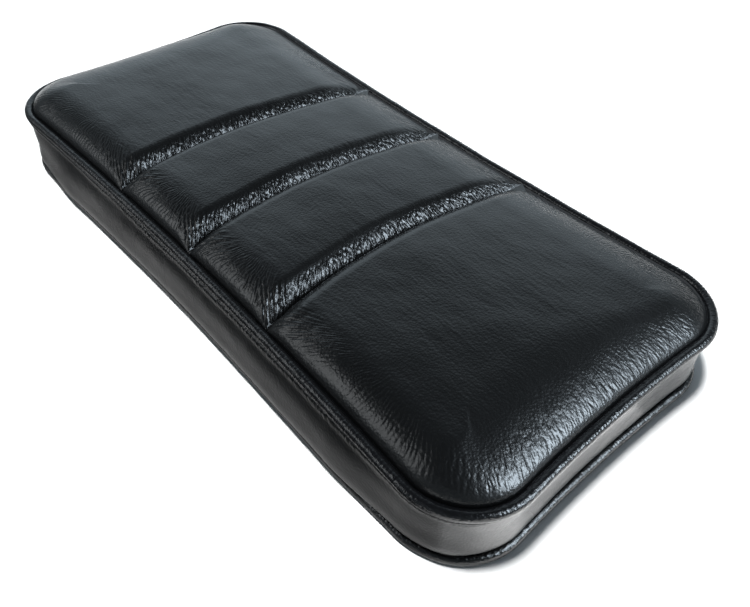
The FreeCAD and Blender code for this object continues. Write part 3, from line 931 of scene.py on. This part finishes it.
def black_leather(name, top):
    """Pigmented calf: drum-dyed hide under a thin satin pigment coat.

    The coat gives a soft, slightly uneven gloss.  The hide gives pebble about 0.9 mm across,
    and soft creases 1.8 mm apart and 7 mm long where it has been worked.  Where it is sewn it
    gathers into lumps 1.3 mm wide and 3 mm long that follow the seam.
    """
    s = bpy.context.scene.pad_finish
    material, tree, shader = new_material(name, s.leather, s.leather_roughness, IOR=1.5)
    place = add(tree, "TexCoord").outputs["Object"]
    pebble = add(tree, "TexVoronoi", {"Vector": place, "Scale": every(0.9),
                                      "Smoothness": 0.4}, feature="SMOOTH_F1")
    drift = add(tree, "TexNoise", {"Vector": place, "Scale": every(9), "Detail": 1.0})
    drift = add(tree, "VectorMath", {0: drift.outputs["Color"], 1: (0.5, 0.5, 0.5)},
                operation="SUBTRACT")
    drift = add(tree, "VectorMath", {0: drift, "Scale": 4.5 * MM}, operation="SCALE")
    drifted = add(tree, "VectorMath", {0: place, 1: drift}, operation="ADD")
    turned = add(tree, "Mapping", {"Vector": drifted, "Rotation": (0, 0, math.radians(-35)),
                                   "Scale": (every(7), every(1.8), every(6))})
    creases = add(tree, "TexVoronoi", {"Vector": turned, "Scale": 1.0, "Smoothness": 0.55},
                  feature="SMOOTH_F1")
    patches = add(tree, "TexNoise", {"Vector": place, "Scale": every(45), "Detail": 1.0})
    least, most = (0.2, 1.0) if top else (0.05, 0.3)
    worked = add(tree, "MapRange", {"Value": patches, "From Min": 0.35, "From Max": 0.65,
                                    "To Min": least, "To Max": most})
    hide = add(tree, "UVMap", uv_map="Hide")
    run = add(tree, "Mapping", {"Vector": hide, "Rotation": (0, 0, math.radians(14)),
                                "Scale": (every(1.3), every(3), 1.0)})
    bend = add(tree, "TexNoise", {"Vector": run, "Scale": 0.6, "Detail": 0.0},
               noise_dimensions="2D")
    bend = add(tree, "VectorMath", {0: run, 1: bend.outputs["Color"]}, operation="ADD")
    lumps = add(tree, "TexVoronoi", {"Vector": bend, "Scale": 1.0, "Smoothness": 0.35},
                feature="SMOOTH_F1", voronoi_dimensions="2D")
    gather = add(tree, "Attribute", attribute_name="gather").outputs["Fac"]
    relief = {}
    for height, strength, depth in ((pebble, 1.0, 0.07), (creases, worked, 0.11),
                                    (lumps, gather, 0.42)):
        relief = {"Normal": add(tree, "Bump", {"Height": height, "Strength": strength,
                                               "Distance": depth * MM, **relief},
                                invert=True)}
    gloss = add(tree, "MapRange", {"Value": patches, "From Min": 0.3, "From Max": 0.7,
                                   "To Min": s.leather_roughness - 0.03,
                                   "To Max": s.leather_roughness + 0.04})
    feed(shader, {"Roughness": gloss, **relief})
    return material


def piping_leather():
    """Skived calf, thinned to 0.6 mm and drawn tight over a cord: the coat is pressed
    smoother, so it shines more, and its pores are drawn out to 1.1 mm.  The strands that
    telegraph through it are in the mesh."""
    s = bpy.context.scene.pad_finish
    return relief_material("Skived calf over cord", s.piping, s.piping_roughness, "TexNoise",
                           {"Scale": every(1.1), "Detail": 2.0}, "Fac", 1.0, 0.28)


def underside_cloth():
    """Spun-bonded polypropylene: fibres pressed together in points 1.3 mm apart, so it is
    matt, almost black and faintly quilted."""
    s = bpy.context.scene.pad_finish
    material, tree, shader = new_material("Spun-bonded polypropylene", s.cloth, 0.8, IOR=1.49)
    place = add(tree, "TexCoord").outputs["Object"]
    points = add(tree, "TexVoronoi", {"Vector": place, "Scale": every(1.3),
                                      "Randomness": 0.15})
    fibres = add(tree, "TexNoise", {"Vector": place, "Scale": every(0.5), "Detail": 3.0,
                                    "Distortion": 2.0})
    tone = add(tree, "MapRange", {"Value": fibres, "From Min": 0.35, "From Max": 0.7,
                                  "To Min": 0.0, "To Max": 1.0})
    mixed = add(tree, "Mix", {"Factor": tone, "A": linear("#121213"), "B": linear("#29292B")},
                data_type="RGBA")
    bump = add(tree, "Bump", {"Height": points, "Strength": 1.0, "Distance": 0.2 * MM})
    feed(shader, {"Base Color": mixed.outputs["Result"], "Normal": bump})
    return material


def plywood():
    """Birch plywood, 9 plies, sanded: pale faces with long grain along the pad, and edges
    striped light and dark."""
    material, tree, shader = new_material("Birch plywood", "#C9A87A", 0.65)
    place = add(tree, "TexCoord").outputs["Object"]
    # a repeat is 40 mm along, 1.4 mm across, and one ply of 1.33 mm high
    grain = add(tree, "Mapping", {"Vector": place, "Scale": (25, 700, 750)})
    rings = add(tree, "TexNoise", {"Vector": grain, "Scale": 1.0, "Detail": 3.0,
                                   "Distortion": 0.4})
    mixed = add(tree, "Mix", {"Factor": rings, "A": linear("#A9824F"),
                              "B": linear("#DDC39A")}, data_type="RGBA")
    feed(shader, {"Base Color": mixed.outputs["Result"]})
    return material


def zinc_steel(name, roughness):
    """Low-carbon steel, stamped or drawn, then zinc plated: grey with faint spangle, 2 mm."""
    material, tree, shader = new_material(name, "#B9BCC0", roughness, Metallic=1.0)
    place = add(tree, "TexCoord").outputs["Object"]
    spangle = add(tree, "TexNoise", {"Vector": place, "Scale": every(2)})
    worn = add(tree, "MapRange", {"Value": spangle, "To Min": roughness - 0.08,
                                  "To Max": roughness + 0.12})
    feed(shader, {"Roughness": worn})
    return material


def bonded_thread():
    """Bonded polyester, dyed black: a slight waxy shine, and plies that cross it about every
    0.6 mm, which a wave of scale 1 / 1 mm gives."""
    return relief_material("Bonded polyester thread", "#141416", 0.5, "TexWave",
                           {"Scale": every(1)}, "Fac", 0.6, 0.1, ior=1.55,
                           bands_direction="DIAGONAL")


def soft_foam():
    """Polyurethane foam, open cells about 0.8 mm across, cream and matt."""
    return relief_material("Polyurethane foam", "#E6DFC8", 0.95, "TexVoronoi",
                           {"Scale": every(0.8)}, "Distance", 0.8, 0.4)


def cotton_scrim():
    """Cotton scrim dyed black, plain woven with threads 0.5 mm apart."""
    return relief_material("Black cotton scrim", "#1A1A1B", 0.9, "TexChecker",
                           {"Scale": every(0.5)}, "Fac", 0.5, 0.1)


# ---- stage ---------------------------------------------------------------------------------
# lengths here are metres
SOFTBOXES = (      # name, turn and height in degrees, size, power, tint; seen by gloss only
    ("key_softbox", 65, 33, (0.52, 0.78), 28.0, (0.86, 1.0, 1.12)),
    ("upper_softbox", 50, 47, (0.4, 0.3), 4.5, (0.86, 1.0, 1.12)),
    ("left_softbox", -144, 31, (0.9, 0.8), 4.8, (0.97, 1.0, 1.02)))
SOFTBOX_DISTANCE = 1.6
SOFTBOX_TARGET = (0, 0, 0.03)                    # about the middle of the pad
FLOOR_HALF = 4                                   # half the paper floor's width
WALL_STOPS = ((0.0, 0.75), (0.2, 1.0), (0.52, 1.0), (0.68, 0.42), (0.80, 0.08), (1.0, 0.03))
WALL_TINT = (0.85, 1.0, 1.1)
PALE_WALL_TURN = -50                             # degrees from +Y towards +X
# painted shade: grey levels of the card that only reflections see, darker further out from the
# pad
CARD_STOPS = ((0.0, 0.44), (0.25, 0.32), (0.42, 0.12), (0.6, 0.03), (1.0, 0.01))
CARD_LOW, CARD_HIGH = (-1.8, -1.6), (0.15, -0.0745)        # its near edge is under the pad
CARD_HEIGHT = 0.0003
CARD_START = 0.078                               # from the pad's middle out to where it shades


def way_to(turn, height):
    """A unit vector that far round from +Y towards +X, and that high, both in degrees."""
    turn, height = math.radians(turn), math.radians(height)
    return Vector((math.sin(turn) * math.cos(height), math.cos(turn) * math.cos(height),
                   math.sin(height)))


def area_light(name, place, target, size, power, diffuse, glossy, tint=(1.0, 1.0, 1.0)):
    """A rectangular light at place, turned to target, that the camera doesn't see; diffuse
    and glossy say which share of the light reaches the pieces."""
    light = bpy.data.lights.new(name, "AREA")
    light.color = tint
    light.shape = "RECTANGLE"
    light.size, light.size_y = size
    light.energy = power
    lamp = bpy.data.objects.new(name, light)
    bpy.context.scene.collection.objects.link(lamp)
    lamp.location = place
    lamp.rotation_euler = (Vector(target) - Vector(place)).to_track_quat("-Z", "Y").to_euler()
    lamp.visible_diffuse, lamp.visible_glossy = diffuse, glossy
    lamp.visible_camera = False


def stage_sheet(name, low, high, z, material):
    """A level rectangle of the stage, between two corners given in metres."""
    mesh = bpy.data.meshes.new(name)
    mesh.from_pydata([(low[0], low[1], z), (high[0], low[1], z), (high[0], high[1], z),
                      (low[0], high[1], z)], [], [(0, 1, 2, 3)])
    sheet = bpy.data.objects.new(name, mesh)
    bpy.context.scene.collection.objects.link(sheet)
    mesh.materials.append(material)
    return sheet


def set_stops(ramp_node, stops):
    """Gives a colour ramp its positions and colours."""
    elements = ramp_node.color_ramp.elements
    while len(elements) < len(stops):
        elements.new(0.5)
    for element, (position, colour) in zip(elements, stops):
        element.position, element.color = position, (*colour, 1.0)


def studio_walls():
    """Light from all round, bright up to 30 degrees high and near black above 55.  A pale
    wall stands beyond the pad's rear right; the other walls are about a fifth as bright."""
    world = bpy.data.worlds.new("Studio walls")
    world.use_nodes = True
    tree = world.node_tree
    tree.nodes.clear()
    way = add(tree, "TexCoord")
    parts = add(tree, "SeparateXYZ", {"Vector": way.outputs["Generated"]})
    wall = add(tree, "ValToRGB", {"Fac": parts.outputs["Z"]})
    set_stops(wall, [(position, [level * tint for tint in WALL_TINT])
                     for position, level in WALL_STOPS])
    flat = add(tree, "CombineXYZ", {"X": parts.outputs["X"], "Y": parts.outputs["Y"]})
    flat = add(tree, "VectorMath", {0: flat}, operation="NORMALIZE")
    facing = add(tree, "VectorMath", {0: flat, 1: way_to(PALE_WALL_TURN, 0)},
                 operation="DOT_PRODUCT")
    pale = add(tree, "MapRange", {"Value": facing.outputs["Value"], "From Min": 0.7,
                                  "From Max": 0.97, "To Min": 0.21, "To Max": 1.0},
               interpolation_type="SMOOTHSTEP")
    light = add(tree, "Background", {"Color": wall, "Strength": pale})
    add(tree, "OutputWorld", {"Surface": light})
    return world


def painted_shade_material():
    """Painted shade on a card that only reflections see, standing in for the shade that the left
    side of the pad reflects: grey at the pad's foot and near black 27 mm out; beside the rear end
    it starts darker and fades over 78 mm."""
    material, tree, shader = new_material("Painted shade, grey to black", "#8C8C8C", 0.95)
    place = add(tree, "TexCoord").outputs["Object"]
    parts = add(tree, "SeparateXYZ", {"Vector": place})
    reach, start = (add(tree, "MapRange", {"Value": parts.outputs["X"], "From Min": -0.13,
                                           "From Max": -0.09, "To Min": rear,
                                           "To Max": ahead})
                    for rear, ahead in ((-0.3, -0.045), (0.34, 0.0)))
    depth = add(tree, "Math", {0: parts.outputs["Y"], 1: CARD_START}, operation="ADD")
    depth = add(tree, "Math", {0: depth, 1: reach}, operation="DIVIDE")
    depth = add(tree, "Math", {0: depth, 1: start}, operation="ADD", use_clamp=True)
    shade = add(tree, "ValToRGB", {"Fac": depth})
    set_stops(shade, [(position, [level] * 3) for position, level in CARD_STOPS])
    feed(shader, {"Base Color": shade})
    return material


def studio_camera(setup):
    """A camera at its place, turned to its azimuth and elevation, then rolled."""
    azimuth, elevation = setup.camera_azimuth, setup.camera_elevation
    back = Vector((math.sin(azimuth) * math.cos(elevation),
                   -math.cos(azimuth) * math.cos(elevation), math.sin(elevation)))
    right = Vector((0, 0, 1)).cross(back).normalized()
    up = back.cross(right)
    c, s = math.cos(setup.camera_roll), math.sin(setup.camera_roll)
    turned = Matrix((c * right + s * up, c * up - s * right, back)).transposed().to_4x4()
    lens = bpy.data.cameras.new("studio_camera")
    lens.sensor_width = 36.0
    lens.lens = setup.camera_lens
    lens.clip_start, lens.clip_end = 0.01, 50
    camera = bpy.data.objects.new("studio_camera", lens)
    bpy.context.scene.collection.objects.link(camera)
    camera.matrix_world = Matrix.Translation(setup.camera_place) @ turned
    return camera


class ARMREST_OT_stage(bpy.types.Operator):
    """Sets up the paper floor, the studio light and the camera"""
    bl_idname = "armrest.stage"
    bl_label = "Stage"

    def execute(self, context):
        scene = context.scene
        paper = new_material("Seamless background paper", scene.pad_finish.floor, 0.9)[0]
        stage_sheet("paper_floor", [-FLOOR_HALF] * 2, [FLOOR_HALF] * 2, 0, paper)
        scene.world = studio_walls()
        for name, turn, height, size, power, tint in SOFTBOXES:
            area_light(name, way_to(turn, height) * SOFTBOX_DISTANCE, SOFTBOX_TARGET, size,
                       power, False, True, tint)
        area_light("overhead_softbox", (-0.03, -0.2, 1.7), (0, 0, 0), (0.2, 0.2), 43.0,
                   True, False)
        # a small bright card on the floor by the front end, seen only in gloss
        area_light("front_card", (0.262, -0.05, 0.0012), (0.262, -0.05, 1), (0.2, 0.16), 0.17,
                   False, True)
        # a card painted grey to black as the shade that the left side reflects, seen only in
        # gloss
        card = stage_sheet("painted_shade_card", CARD_LOW, CARD_HIGH, CARD_HEIGHT, painted_shade_material())
        card.visible_camera = card.visible_diffuse = card.visible_shadow = False
        scene.camera = studio_camera(scene.studio_setup)
        scene.view_settings.view_transform = "Standard"
        return {"FINISHED"}


# ---- add-on --------------------------------------------------------------------------------
class ARMREST_PT_build(bpy.types.Panel):
    """Shows the pad's settings and the buttons that build it"""
    bl_idname = "ARMREST_PT_build"
    bl_label = "Armrest pad"
    bl_space_type = "VIEW_3D"
    bl_region_type = "UI"
    bl_category = "Armrest pad"

    def draw(self, context):
        for group in (context.scene.pad_sizes, context.scene.pad_finish,
                      context.scene.studio_setup):
            box = self.layout.box()
            for key in group.__annotations__:
                box.prop(group, key)
        for operator in OPERATORS:
            self.layout.operator(operator.bl_idname)


OPERATORS = (ARMREST_OT_top_panels, ARMREST_OT_pipings, ARMREST_OT_boxing,
             ARMREST_OT_underside, ARMREST_OT_inner_parts, ARMREST_OT_stage)
GROUPS = {"pad_sizes": PadSizes, "pad_finish": PadFinish, "studio_setup": StudioSetup}


def register():
    for cls in (*GROUPS.values(), *OPERATORS, ARMREST_PT_build):
        bpy.utils.register_class(cls)
    for key, group in GROUPS.items():
        setattr(bpy.types.Scene, key, PointerProperty(type=group))


def unregister():
    for key in GROUPS:
        delattr(bpy.types.Scene, key)
    for cls in (ARMREST_PT_build, *reversed(OPERATORS), *GROUPS.values()):
        bpy.utils.unregister_class(cls)


def main():
    register()
    for step in ("top_panels", "pipings", "boxing", "underside", "inner_parts", "stage"):
        getattr(bpy.ops.armrest, step)()


if __name__ == "__main__":
    main()
